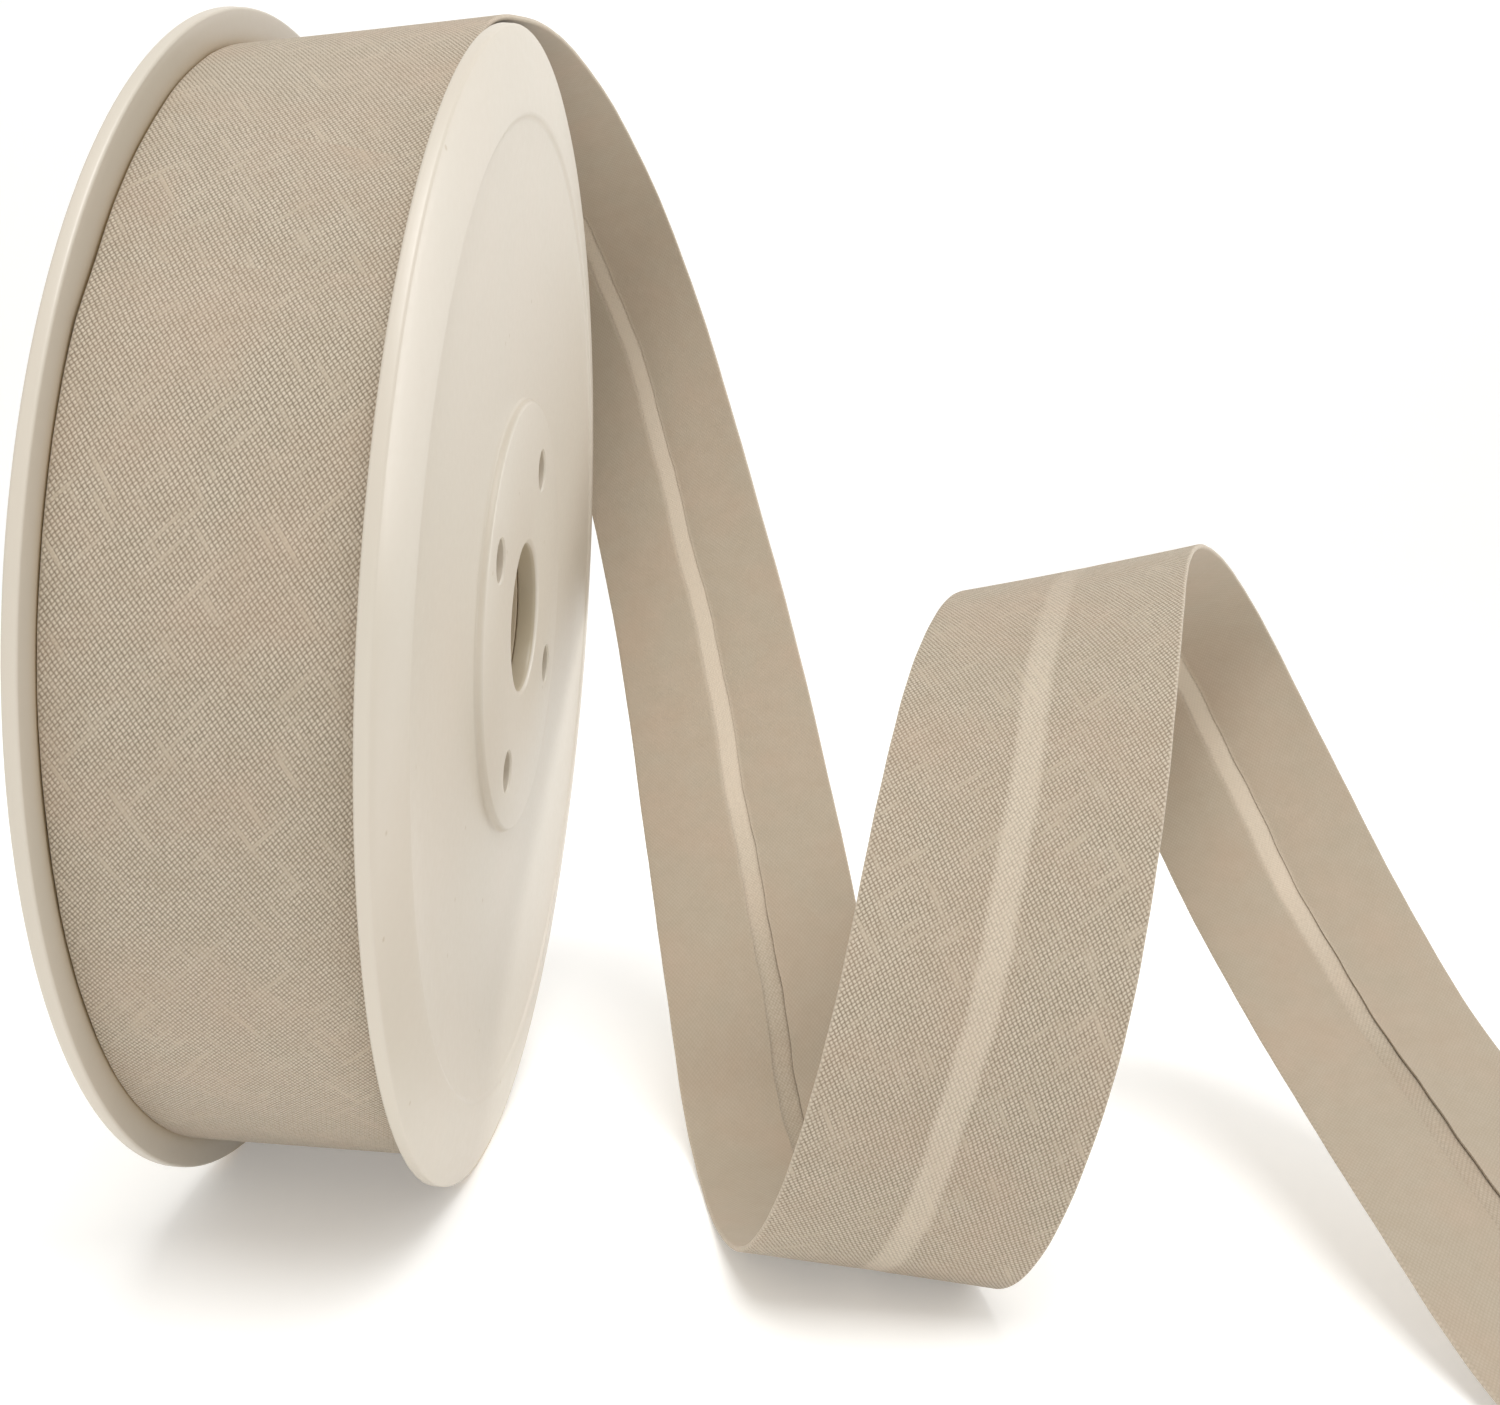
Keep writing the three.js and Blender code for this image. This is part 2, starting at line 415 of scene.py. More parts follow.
def cylinder_in_hand(name, sides, radius, length, middle):
    """A cylinder along X to start a piece from, alone in the selection, in edit mode."""
    deselect()
    bpy.ops.mesh.primitive_cylinder_add(
        vertices=sides,
        radius=radius,
        depth=length,
        location=middle,
        rotation=(0, math.pi / 2, 0),
    )
    piece = bpy.context.object
    piece.name = name
    bpy.ops.object.transform_apply(location=True, rotation=True, scale=True)
    bpy.ops.object.mode_set(mode="EDIT")
    bpy.ops.mesh.select_mode(type="FACE")
    return piece


def pick_caps(piece, *sides):
    """Selects the flat caps that face along X, to the sides given as 1 or -1."""
    shape = bmesh.from_edit_mesh(piece.data)
    picked = 0
    for face in shape.faces:
        is_cap = len(face.verts) > 8 and any(face.normal.x * side > 0.9 for side in sides)
        face.select_set(is_cap)
        picked += is_cap
    bmesh.update_edit_mesh(piece.data)
    if picked != len(sides):
        raise RuntimeError(f"{piece.name}: {picked} flat caps found, {len(sides)} needed")


def finish_normals():
    """Turns all faces of the mesh in hand outwards, and leaves edit mode."""
    bpy.ops.mesh.select_all(action="SELECT")
    bpy.ops.mesh.normals_make_consistent(inside=False)
    bpy.ops.object.mode_set(mode="OBJECT")


def round_edges(piece, width, segments, degrees):
    """Rounds the edges that are sharper than an angle, as a mould leaves them."""
    edges = piece.modifiers.new("moulded_edges", "BEVEL")
    edges.width = width
    edges.segments = segments
    edges.limit_method = "ANGLE"
    edges.angle_limit = math.radians(degrees)
    apply_modifiers(piece)


def mesh_piece(name, points, faces):
    """A new object from a mesh of points and faces, active and alone in the selection."""
    mesh = bpy.data.meshes.new(name)
    mesh.from_pydata(points, [], faces)
    piece = bpy.data.objects.new(name, mesh)
    bpy.context.scene.collection.objects.link(piece)
    make_active(piece)
    return piece


def seat(piece, slot, *nodes):
    """Rides the piece on the root part, and hides the solids that it stands for. The slot is not
    used.
    """
    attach(piece, "root")
    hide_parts(*nodes)


def between(rows, key, at):
    """A value from a table of rows, linear between them."""
    for low, high in zip(rows, rows[1:]):
        if at <= high["at"]:
            share = (at - low["at"]) / (high["at"] - low["at"])
            return low[key] + max(share, 0) * (high[key] - low[key])
    return rows[-1][key]


def axle():
    """Height of the spool's axis."""
    spool = bpy.context.scene.spool_sizes
    return spool.radius - spool.flat_spot


# Materials


def moulded_polystyrene(name, hex_colour, painted_shade_reach=2.2 * MM):
    """Injection-moulded polystyrene: ivory, semi-gloss, with a faint orange peel, cloudy
    patches where the melt cooled unevenly and a few dark specks in the plastic. Narrow
    gaps and hollows are painted a warm brown, as shade."""
    material, tree = new_material(name)
    place = add(tree, "ShaderNodeTexCoord").outputs["Object"]
    clouds = add(
        tree,
        "ShaderNodeTexNoise",
        {"Vector": place, "Scale": 1 / (28 * MM), "Detail": 3.0, "Roughness": 0.55},
    )
    base = add(
        tree,
        "ShaderNodeMix",
        {SHARE: clouds.outputs["Fac"], FIRST: linear(hex_colour), SECOND: linear("#CCC1B3")},
        data_type="RGBA",
    )
    # Specks of 0.3 to 0.6 mm, about one to six square centimetres
    grit = add(
        tree,
        "ShaderNodeTexVoronoi",
        {"Vector": place, "Scale": 1 / (7 * MM), "Randomness": 1.0},
    )
    near_speck = add(
        tree,
        "ShaderNodeMapRange",
        {
            "Value": grit.outputs["Distance"],
            "From Min": 0.02,
            "From Max": 0.045,
            "To Min": 0.55,
            "To Max": 0.0,
        },
    )
    speckled = add(
        tree,
        "ShaderNodeMix",
        {SHARE: near_speck.outputs[0], FIRST: base.outputs[COLOUR], SECOND: linear("#A9987C")},
        data_type="RGBA",
    )
    # Painted shade: where the surface is closed in, its colour turns a warm brown
    closed_in = add(tree, "ShaderNodeAmbientOcclusion", {"Distance": painted_shade_reach}, samples=6)
    unshaded_share = add(
        tree,
        "ShaderNodeMapRange",
        {"Value": closed_in.outputs["AO"], "From Min": 0.15, "From Max": 0.75},
    )
    warm_shaded = add(
        tree,
        "ShaderNodeMix",
        {SHARE: unshaded_share.outputs[0], FIRST: linear("#B59B70"), SECOND: speckled.outputs[COLOUR]},
        data_type="RGBA",
    )
    # Orange peel about 0.9 mm across, over slow waves about 9 mm across
    peel = add(
        tree,
        "ShaderNodeTexNoise",
        {"Vector": place, "Scale": 1 / (0.9 * MM), "Detail": 2.0, "Roughness": 0.5},
    )
    waves = add(
        tree,
        "ShaderNodeTexNoise",
        {"Vector": place, "Scale": 1 / (9 * MM), "Detail": 1.0},
    )
    fine = add(
        tree,
        "ShaderNodeBump",
        {"Height": peel.outputs["Fac"], "Strength": 0.12, "Distance": 0.03 * MM},
    )
    uneven = add(
        tree,
        "ShaderNodeBump",
        {
            "Height": waves.outputs["Fac"],
            "Strength": 0.35,
            "Distance": 0.25 * MM,
            "Normal": fine.outputs["Normal"],
        },
    )
    gloss = add(
        tree,
        "ShaderNodeMapRange",
        {"Value": peel.outputs["Fac"], "To Min": 0.33, "To Max": 0.46},
    )
    shader = add(
        tree,
        "ShaderNodeBsdfPrincipled",
        {
            "Base Color": warm_shaded.outputs[COLOUR],
            "Roughness": gloss.outputs[0],
            "IOR": 1.59,
            "Normal": uneven.outputs["Normal"],
        },
    )
    add(tree, "ShaderNodeOutputMaterial", {"Surface": shader.outputs["BSDF"]})
    return material


def thread_counts(tree, flat):
    """How many warp threads, and how many weft threads, lie between the strip's corner and
    a point. The threads wander by about a tenth of their spacing."""
    tape = bpy.context.scene.tape_sizes
    drift = add(
        tree,
        "ShaderNodeTexNoise",
        {"Vector": flat, "Scale": 1 / (2.4 * MM), "Detail": 2.0},
    )
    centred = add(
        tree,
        "ShaderNodeVectorMath",
        {0: drift.outputs["Color"], 1: (0.5, 0.5, 0.5)},
        operation="SUBTRACT",
    )
    shifted = add(
        tree,
        "ShaderNodeVectorMath",
        {0: centred.outputs[0], 1: (0.16 * MM, 0.16 * MM, 0.0), 2: flat},
        operation="MULTIPLY_ADD",
    ).outputs[0]
    counts = []
    for pitch, lean in (
        (tape.warp_pitch, tape.warp_lean),
        (tape.weft_pitch, tape.weft_lean),
    ):
        across = (math.cos(lean) / pitch, math.sin(lean) / pitch, 0.0)
        counted = add(
            tree, "ShaderNodeVectorMath", {0: shifted, 1: across}, operation="DOT_PRODUCT"
        )
        counts.append(counted.outputs["Value"])
    return counts


def crossing_threads(tree, counts):
    """Height of a plain weave: round threads that pass over and under each other."""
    swells = []
    for count in counts:
        turned = add(tree, "ShaderNodeMath", {0: count, 1: math.pi}, operation="MULTIPLY")
        swell = add(tree, "ShaderNodeMath", {0: turned.outputs[0]}, operation="SINE")
        swells.append(swell.outputs[0])
    crossed = add(tree, "ShaderNodeMath", {0: swells[0], 1: swells[1]}, operation="MULTIPLY")
    warp_on_top = add(
        tree, "ShaderNodeMath", {0: crossed.outputs[0], 1: 0.0}, operation="GREATER_THAN"
    )
    rounds = [
        add(tree, "ShaderNodeMath", {0: swell}, operation="ABSOLUTE").outputs[0] for swell in swells
    ]
    tops = []
    for over, along in ((0, 1), (1, 0)):
        bowed = add(
            tree, "ShaderNodeMath", {0: rounds[along], 1: 0.55, 2: 0.45}, operation="MULTIPLY_ADD"
        )
        top = add(
            tree,
            "ShaderNodeMath",
            {0: rounds[over], 1: bowed.outputs[0]},
            operation="MULTIPLY",
        )
        tops.append(top.outputs[0])
    weave = add(
        tree,
        "ShaderNodeMix",
        {SHARE: warp_on_top.outputs[0], LOW: tops[1], HIGH: tops[0]},
    )
    return weave.outputs[0]


def thicker_threads(tree, counts):
    """Slubs: each thread has its own noise, drawn out along its length."""
    slubs = []
    for own, other, start in ((0, 1, 0.0), (1, 0, 40.0)):
        number = add(tree, "ShaderNodeMath", {0: counts[own]}, operation="FLOOR")
        place = add(
            tree,
            "ShaderNodeCombineXYZ",
            {"X": number.outputs[0], "Y": counts[other], "Z": start},
        )
        drawn_out = add(
            tree,
            "ShaderNodeMapping",
            {"Vector": place.outputs[0], "Scale": (0.73, 0.05, 1.0)},
        )
        thicker = add(
            tree,
            "ShaderNodeTexNoise",
            {"Vector": drawn_out.outputs[0], "Scale": 1.0, "Detail": 1.0},
        )
        slubs.append(thicker.outputs["Fac"])
    both = add(tree, "ShaderNodeMath", {0: slubs[0], 1: slubs[1]}, operation="MAXIMUM")
    slub = add(
        tree,
        "ShaderNodeMapRange",
        {"Value": both.outputs[0], "From Min": 0.6, "From Max": 0.78},
    )
    return slub.outputs[0]


def uneven_dye(tree, flat, cloth):
    """Dye in soft patches about 13 mm across, with a finer mottle of about 3 mm."""
    patches = add(
        tree,
        "ShaderNodeTexNoise",
        {"Vector": flat, "Scale": 1 / (13 * MM), "Detail": 3.0, "Roughness": 0.6},
    )
    blush = add(
        tree,
        "ShaderNodeMapRange",
        {"Value": patches.outputs["Fac"], "From Min": 0.42, "From Max": 0.68, "To Max": 0.22},
    )
    dyed = add(
        tree,
        "ShaderNodeMix",
        {SHARE: blush.outputs[0], FIRST: cloth, SECOND: linear("#BC9F8A")},
        data_type="RGBA",
    )
    mottle = add(
        tree,
        "ShaderNodeTexNoise",
        {"Vector": flat, "Scale": 1 / (3.2 * MM), "Detail": 5.0, "Roughness": 0.65},
    )
    darker = add(
        tree,
        "ShaderNodeMapRange",
        {"Value": mottle.outputs["Fac"], "From Min": 0.35, "From Max": 0.75, "To Max": 0.2},
    )
    mottled = add(
        tree,
        "ShaderNodeMix",
        {SHARE: darker.outputs[0], FIRST: dyed.outputs[COLOUR], SECOND: linear("#998971")},
        data_type="RGBA",
    )
    return mottled.outputs[COLOUR]


def painted_through_light_stripe(tree, fibre, cloth, painted_light_shown):
    """A lighter stripe down the middle, painted light let through where the cloth is single.
    The raw edges that bound it aren't quite even.
    """
    stripe = add(tree, "ShaderNodeAttribute", attribute_name="light_let_through").outputs["Fac"]
    frayed = add(
        tree,
        "ShaderNodeMath",
        {0: fibre, 1: 0.5, 2: stripe},
        operation="MULTIPLY_ADD",
    )
    thin = add(
        tree,
        "ShaderNodeMapRange",
        {
            "Value": frayed.outputs[0],
            "From Min": 0.35,
            "From Max": 1.15,
            "To Max": painted_light_shown,
        },
    )
    with_painted_light = add(
        tree,
        "ShaderNodeMix",
        {SHARE: thin.outputs[0], FIRST: cloth, SECOND: linear("#DDD0BE")},
        data_type="RGBA",
    )
    return with_painted_light.outputs[COLOUR]


def plain_weave_cotton(name, relief_shown=1.0, painted_light_shown=0.38):
    """Plain-weave cotton cut on the bias and pressed: matte, with round threads that pass
    over and under each other, their hollows painted darker as shade, thicker slubs along
    single threads, a lighter stripe of painted light where only one layer is left between
    the folded edges, and painted highlights along the folds. Its back, seen only in that
    gap, is pressed smoother and looks paler, with less painted hollow shade and more
    painted light."""
    tape = bpy.context.scene.tape_sizes
    material, tree = new_material(name)
    flat = add(tree, "ShaderNodeUVMap", uv_map="cut").outputs["UV"]
    counts = thread_counts(tree, flat)
    weave = crossing_threads(tree, counts)
    slub = thicker_threads(tree, counts)
    # The folded-in flaps are pressed flatter than the face
    shown = add(tree, "ShaderNodeAttribute", attribute_name="weave").outputs["Fac"]
    contrast = add(
        tree,
        "ShaderNodeMapRange",
        {"Value": shown, "To Min": 0.14, "To Max": relief_shown},
    )
    # No two crossings are alike, because the fibres differ every 0.4 mm
    fibre = add(
        tree,
        "ShaderNodeTexNoise",
        {"Vector": flat, "Scale": 1 / (0.42 * MM), "Detail": 3.0, "Roughness": 0.6},
    )
    varied = add(
        tree,
        "ShaderNodeMath",
        {0: fibre.outputs["Fac"], 1: 0.7, 2: -0.35},
        operation="MULTIPLY_ADD",
    )
    uneven_weave = add(
        tree,
        "ShaderNodeMath",
        {0: weave, 1: varied.outputs[0]},
        operation="ADD",
    )
    relief = add(
        tree,
        "ShaderNodeMix",
        {SHARE: contrast.outputs[0], LOW: 0.5, HIGH: uneven_weave.outputs[0]},
    )
    # Painted shade: the low parts of the weave take the hollow colour, and its tops the thread
    # colour
    weave_shaded = add(
        tree,
        "ShaderNodeMix",
        {SHARE: relief.outputs[0], FIRST: linear(tape.hollow_shade), SECOND: linear(tape.thread)},
        data_type="RGBA",
    )
    lighter = add(
        tree,
        "ShaderNodeMath",
        {0: slub, 1: contrast.outputs[0]},
        operation="MULTIPLY",
    )
    slubbed = add(
        tree,
        "ShaderNodeMix",
        {SHARE: lighter.outputs[0], FIRST: weave_shaded.outputs[COLOUR], SECOND: linear("#BBAE9B")},
        data_type="RGBA",
    )
    dyed = uneven_dye(tree, flat, slubbed.outputs[COLOUR])
    with_painted_light = painted_through_light_stripe(tree, fibre.outputs["Fac"], dyed, painted_light_shown)
    # Painted highlight: the rounded folds are made a little paler, as where they catch the light
    folded = add(tree, "ShaderNodeAttribute", attribute_name="fold_highlight").outputs["Fac"]
    pale = add(tree, "ShaderNodeMath", {0: folded, 1: 0.35}, operation="MULTIPLY")
    lit_folds = add(
        tree,
        "ShaderNodeMix",
        {SHARE: pale.outputs[0], FIRST: with_painted_light, SECOND: linear("#DCCFBD")},
        data_type="RGBA",
    )
    height = add(
        tree,
        "ShaderNodeMath",
        {0: slub, 1: 0.25, 2: relief.outputs[0]},
        operation="MULTIPLY_ADD",
    )
    threads = add(
        tree,
        "ShaderNodeBump",
        {"Height": height.outputs[0], "Strength": 0.8, "Distance": 0.09 * MM},
    )
    shader = add(
        tree,
        "ShaderNodeBsdfPrincipled",
        {
            "Base Color": lit_folds.outputs[COLOUR],
            "Roughness": 0.92,
            "IOR": 1.5,
            "Specular IOR Level": 0.25,
            "Sheen Weight": 0.15,
            "Sheen Roughness": 0.5,
            "Normal": threads.outputs["Normal"],
        },
    )
    add(tree, "ShaderNodeOutputMaterial", {"Surface": shader.outputs["BSDF"]})
    return material


def edge_on_turns(name):
    """The folded edges of the wound turns, pressed side by side: each rounded fold catches
    the light, and a thin line of shade lies between it and the next."""
    tape = bpy.context.scene.tape_sizes
    material, tree = new_material(name)
    place = add(tree, "ShaderNodeTexCoord").outputs["Object"]
    moved = add(
        tree,
        "ShaderNodeVectorMath",
        {0: place, 1: (0.0, 0.0, axle())},
        operation="SUBTRACT",
    )
    spread = add(
        tree,
        "ShaderNodeVectorMath",
        {0: moved.outputs[0], 1: (0.0, 1.0, 1.0)},
        operation="MULTIPLY",
    )
    radius = add(tree, "ShaderNodeVectorMath", {0: spread.outputs[0]}, operation="LENGTH")
    turns = add(
        tree, "ShaderNodeMath", {0: radius.outputs["Value"], 1: tape.turn}, operation="DIVIDE"
    )
    part = add(tree, "ShaderNodeMath", {0: turns.outputs[0], 1: 1.0}, operation="PINGPONG")
    fibres = add(
        tree,
        "ShaderNodeTexNoise",
        {"Vector": place, "Scale": 1 / (0.4 * MM), "Detail": 3.0},
    )
    level = add(
        tree,
        "ShaderNodeMath",
        {0: fibres.outputs["Fac"], 1: 0.4, 2: part.outputs[0]},
        operation="MULTIPLY_ADD",
    )
    shade = add(
        tree,
        "ShaderNodeMapRange",
        {"Value": level.outputs[0], "From Min": 0.1, "From Max": 1.1},
    )
    colour = add(
        tree,
        "ShaderNodeMix",
        {SHARE: shade.outputs[0], FIRST: linear("#8A7457"), SECOND: linear(tape.thread)},
        data_type="RGBA",
    )
    bump = add(
        tree,
        "ShaderNodeBump",
        {"Height": level.outputs[0], "Strength": 0.5, "Distance": 0.1 * MM},
    )
    shader = add(
        tree,
        "ShaderNodeBsdfPrincipled",
        {
            "Base Color": colour.outputs[COLOUR],
            "Roughness": 0.95,
            "Specular IOR Level": 0.2,
            "Normal": bump.outputs["Normal"],
        },
    )
    add(tree, "ShaderNodeOutputMaterial", {"Surface": shader.outputs["BSDF"]})
    return material


# The tape's way round the roll and off it


def natural_curve(values):
    """A natural cubic through the values, one section to each unit."""
    last = len(values) - 1
    factor, right = [0.0], [0.0]
    for i in range(1, last):
        pivot = 4 - factor[i - 1]
        factor.append(1 / pivot)
        second = 6 * (values[i + 1] - 2 * values[i] + values[i - 1])
        right.append((second - right[i - 1]) / pivot)
    bends = [0.0] * (last + 1)
    for i in range(last - 1, 0, -1):
        bends[i] = right[i] - factor[i] * bends[i + 1]

    def value(at):
        i = min(int(at), last - 1)
        b = at - i
        a = 1 - b
        curve = (a**3 - a) * bends[i] + (b**3 - b) * bends[i + 1]
        return a * values[i] + b * values[i + 1] + curve / 6

    return value


def tape_stations():
    """Middle and width direction of the tape, from under its last turn to its cut end."""
    tape = bpy.context.scene.tape_sizes
    first = LOOSE_END[0]
    curves = {}
    for key in ("x", "y", "z", "swing", "tip"):
        curves[key] = natural_curve([row[key] for row in LOOSE_END])
    top = math.hypot(first["y"] * MM, first["z"] * MM - axle())
    leaves_at = math.atan2(first["z"] * MM - axle(), -first["y"] * MM)
    stations = []
    # The turn on the roll counts as the eight sections before the table's first
    sections_before = 8
    for i in range(WRAP_STEPS):
        back = WRAP * (1 - i / WRAP_STEPS)
        radius = top - tape.turn * back / math.tau
        angle = leaves_at - back
        around = (-radius * math.cos(angle), axle() + radius * math.sin(angle))
        middle = Vector((first["x"] * MM, *around))
        stations.append((-sections_before * back / WRAP, middle, Vector((1, 0, 0))))
    for i in range((len(LOOSE_END) - 1) * STEPS_PER_SECTION + 1):
        at = i / STEPS_PER_SECTION
        swing = math.radians(curves["swing"](at))
        tip = math.radians(curves["tip"](at))
        middle = Vector([curves[key](at) * MM for key in "xyz"])
        level = math.cos(tip)
        width = Vector((math.cos(swing) * level, math.sin(swing) * level, math.sin(tip)))
        stations.append((at, middle, width))
    return stations


def fold_section(shift, lift, light):
    """The folded strip from raw edge to raw edge. Each point has its place across, its
    height, its place on the flat cut, how far it is on the face, how much of the cloth's
    thickness it has and how near it is to a fold."""
    tape = bpy.context.scene.tape_sizes
    half, level = tape.width / 2, tape.layer_gap / 2
    flap = (tape.cut_width - tape.width) / 2
    inner = half - level
    # A raw edge is pressed thin where light comes through beside it
    thinned = 0.65 * light
    # The face sinks a little into the gap between the raw edges, 3.4 mm wide in all
    sinks, half_gap = 0.05 * MM * light, 1.7

    def flap_rows(side):
        raw_edge = side * (half - flap) + shift
        for share in FLAP_SHARES:
            near_edge = max(0.0, 1 - share * 8)
            thickness = 1 - thinned * near_edge
            height = -level + tape.cloth * (1 - thickness) / 2 - lift * near_edge**2
            across = raw_edge + (side * inner - raw_edge) * share
            yield across, height, 0.0, thickness, 0.0

    def fold_rows(side):
        for i in range(7):
            turn = math.pi * i / 6
            across = side * (inner + level * math.sin(turn))
            yield across, -level * math.cos(turn), i / 6, 1.0, math.sin(turn)

    rows = [*flap_rows(-1), *fold_rows(-1)]
    for mark in FACE_MARKS:
        across = mark * MM + (shift if abs(mark) < 5 else 0)
        sunk = sinks * max(0.0, 1 - (mark / half_gap) ** 2)
        rows.append((across, level - sunk, 1.0, 1.0, 0.0))
    rows += [*flap_rows(1), *fold_rows(1)][::-1]
    flat, placed, before = 0.0, [], rows[0]
    for row in rows:
        flat += math.hypot(row[0] - before[0], row[1] - before[1])
        placed.append((row[0], row[1], flat, *row[2:]))
        before = row
    return placed


# Operators, one for each piece or group of like pieces


class SPOOL_OT_flanges(bpy.types.Operator):
    """Models the near flange from a disc, and copies it to the far side"""

    bl_idname = "spool.flanges"
    bl_label = "Spool flanges"

    def execute(self, context):
        spool = context.scene.spool_sizes
        middle = Vector((0, 0, axle()))
        near = cylinder_in_hand("near_flange_disc", FLANGE_SIDES, spool.radius, spool.rim, middle)
        pick_caps(near, 1)
        for ring in FACE_RINGS:
            bpy.ops.mesh.inset(thickness=ring["inset"] * MM, depth=ring["rise"] * MM)
        bpy.ops.mesh.delete(type="FACE")
        # The inner face is plain, with a narrow band that holds the rim's rounding
        band = 1.2 * MM
        pick_caps(near, -1)
        bpy.ops.mesh.inset(thickness=band, depth=0)
        bpy.ops.mesh.inset(thickness=spool.radius - spool.bore - band, depth=0)
        bpy.ops.mesh.delete(type="FACE")
        # The two round openings become the wall of the bore
        bpy.ops.mesh.select_mode(type="EDGE")
        bpy.ops.mesh.select_all(action="DESELECT")
        bpy.ops.mesh.select_non_manifold()
        bpy.ops.mesh.bridge_edge_loops()
        finish_normals()
        round_edges(near, width=0.28 * MM, segments=4, degrees=32)
        for quarter in range(4):
            self.drill(near, spool.first_hole + quarter * math.pi / 2)
        self.stand(near)
        near.data.materials.clear()
        near.data.materials.append(moulded_polystyrene("Moulded polystyrene", spool.plastic))
        # The second, darker copy of the plastic is painted shade for the wall of the bore
        near.data.materials.append(moulded_polystyrene("Moulded polystyrene, painted bore shade", "#A39674"))
        self.paint_bore_shade(near)
        make_active(near)
        bpy.ops.object.duplicate(linked=False)
        far = context.object
        far.name = "far_flange_disc"
        bpy.ops.object.mode_set(mode="EDIT")
        bpy.ops.mesh.select_all(action="SELECT")
        bpy.ops.transform.rotate(value=math.pi, orient_axis="Z", center_override=(0, 0, 0))
        bpy.ops.transform.translate(value=(-(spool.gap + spool.rim), 0, 0))
        bpy.ops.object.mode_set(mode="OBJECT")
        for piece, node in ((near, "near_flange"), (far, "far_flange")):
            make_active(piece)
            bpy.ops.object.shade_smooth_by_angle(angle=math.radians(35))
            seat(piece, "spool", node)
        deselect()
        return {"FINISHED"}

    def paint_bore_shade(self, piece):
        """Gives the wall of the bore a darker copy of the plastic, as painted shade."""
        wall = bpy.context.scene.spool_sizes.bore + 0.1 * MM
        for face in piece.data.polygons:
            if math.hypot(face.center.y, face.center.z - axle()) < wall:
                face.material_index = 1

    def drill(self, piece, angle):
        """Cuts one small hole through the hub, with its edge a little broken."""
        spool = bpy.context.scene.spool_sizes
        ring = spool.hole_ring
        middle = Vector((0, -ring * math.sin(angle), axle() + ring * math.cos(angle)))
        length, below_face, broken, past_face = 6 * MM, 0.2 * MM, 0.22 * MM, 1 * MM
        face = spool.rim / 2 + HUB_HEIGHT
        start = middle + Vector((face - below_face - length / 2, 0, 0))
        drill = cylinder_in_hand("drill", HOLE_SIDES, spool.hole, length, start)
        pick_caps(drill, 1)
        # Its end widens by a tenth, to break the hole's edge, and then goes on past the face
        bpy.ops.mesh.extrude_region_move(TRANSFORM_OT_translate={"value": (broken, 0, 0)})
        bpy.ops.transform.resize(value=(1, 1.1, 1.1), center_override=middle)
        bpy.ops.mesh.extrude_region_move(TRANSFORM_OT_translate={"value": (past_face, 0, 0)})
        bpy.ops.object.mode_set(mode="OBJECT")
        corners = len(piece.data.vertices)
        cut = piece.modifiers.new("hole", "BOOLEAN")
        cut.operation = "DIFFERENCE"
        cut.object = drill
        cut.solver = "MANIFOLD"
        apply_modifiers(piece)
        bpy.data.objects.remove(drill)
        if len(piece.data.vertices) <= corners:
            raise RuntimeError("A small hole in the hub was not cut")

    def stand(self, piece):
        """Takes the small flat spot off the rim, where it stands on the surface."""
        make_active(piece)
        bpy.ops.object.mode_set(mode="EDIT")
        bpy.ops.mesh.select_all(action="SELECT")
        bpy.ops.mesh.bisect(
            plane_co=(0, 0, 0),
            plane_no=(0, 0, -1),
            use_fill=True,
            clear_outer=True,
            threshold=0.001 * MM,
        )
        bpy.ops.object.mode_set(mode="OBJECT")


class SPOOL_OT_core(bpy.types.Operator):
    """Models the barrel between the flanges, with the bore through it"""

    bl_idname = "spool.core"
    bl_label = "Spool core"

    def execute(self, context):
        spool = context.scene.spool_sizes
        clear = 0.1 * MM
        length = spool.gap - clear
        middle = Vector((-(spool.gap + spool.rim) / 2, 0, axle()))
        barrel = cylinder_in_hand("core_barrel", BARREL_SIDES, spool.barrel, length, middle)
        pick_caps(barrel, 1, -1)
        lead_in = 0.1 * MM
        bpy.ops.mesh.inset(thickness=spool.barrel - spool.bore - lead_in, depth=0)
        bpy.ops.mesh.inset(thickness=lead_in, depth=-lead_in)
        bpy.ops.mesh.bridge_edge_loops()
        finish_normals()
        round_edges(barrel, width=0.2 * MM, segments=2, degrees=60)
        bpy.ops.object.shade_smooth_by_angle(angle=math.radians(35))
        barrel.data.materials.clear()
        # Painted shade: the core, seen only down the bore, is a darker copy of the plastic, and its
        # painted shade reaches 12 mm
        barrel.data.materials.append(
            moulded_polystyrene("Moulded polystyrene, painted shade in the core", "#B5A687", 12 * MM)
        )
        seat(barrel, "spool", "core")
        deselect()
        return {"FINISHED"}


